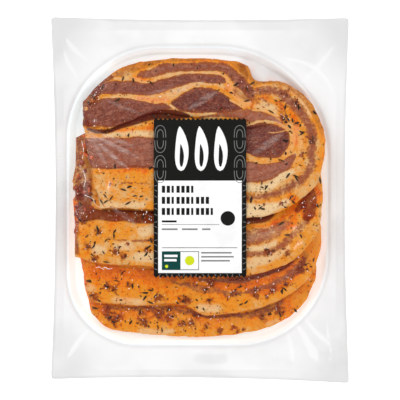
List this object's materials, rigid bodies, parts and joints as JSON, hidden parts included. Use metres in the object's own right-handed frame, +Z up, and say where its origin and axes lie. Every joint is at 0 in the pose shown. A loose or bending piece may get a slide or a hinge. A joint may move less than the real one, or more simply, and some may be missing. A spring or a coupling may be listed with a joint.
{
  "type": "pack of pork belly slices",
  "caption": "Sealed flat pack of marinated, folded pork belly slices: a white formed web, shingled slices with herb flecks, a clear film drawn over them and a label with toothed ends",
  "frame": {"origin": "middle of the pack's underside, on the surface that it lies on", "axes": "+Z is up out of the shown side, +Y runs along the pack's length towards the topmost slice, and +X runs across it towards the folds of the slices"},
  "size_m": [0.2026, 0.2488, 0.0315],
  "materials": {
    "web": "smooth white, softly glossy",
    "meat_upper": null,
    "meat_lower": null,
    "film": null,
    "label": "printed self-adhesive film label, satin, black and white"
  },
  "bodies": {
    "root": {"base_web": "web", "slice_1": "meat_upper", "slice_2": "meat_upper", "slice_3": "meat_lower", "slice_4": "meat_lower", "top_film": "film", "label": "label"}
  },
  "joints": []
}
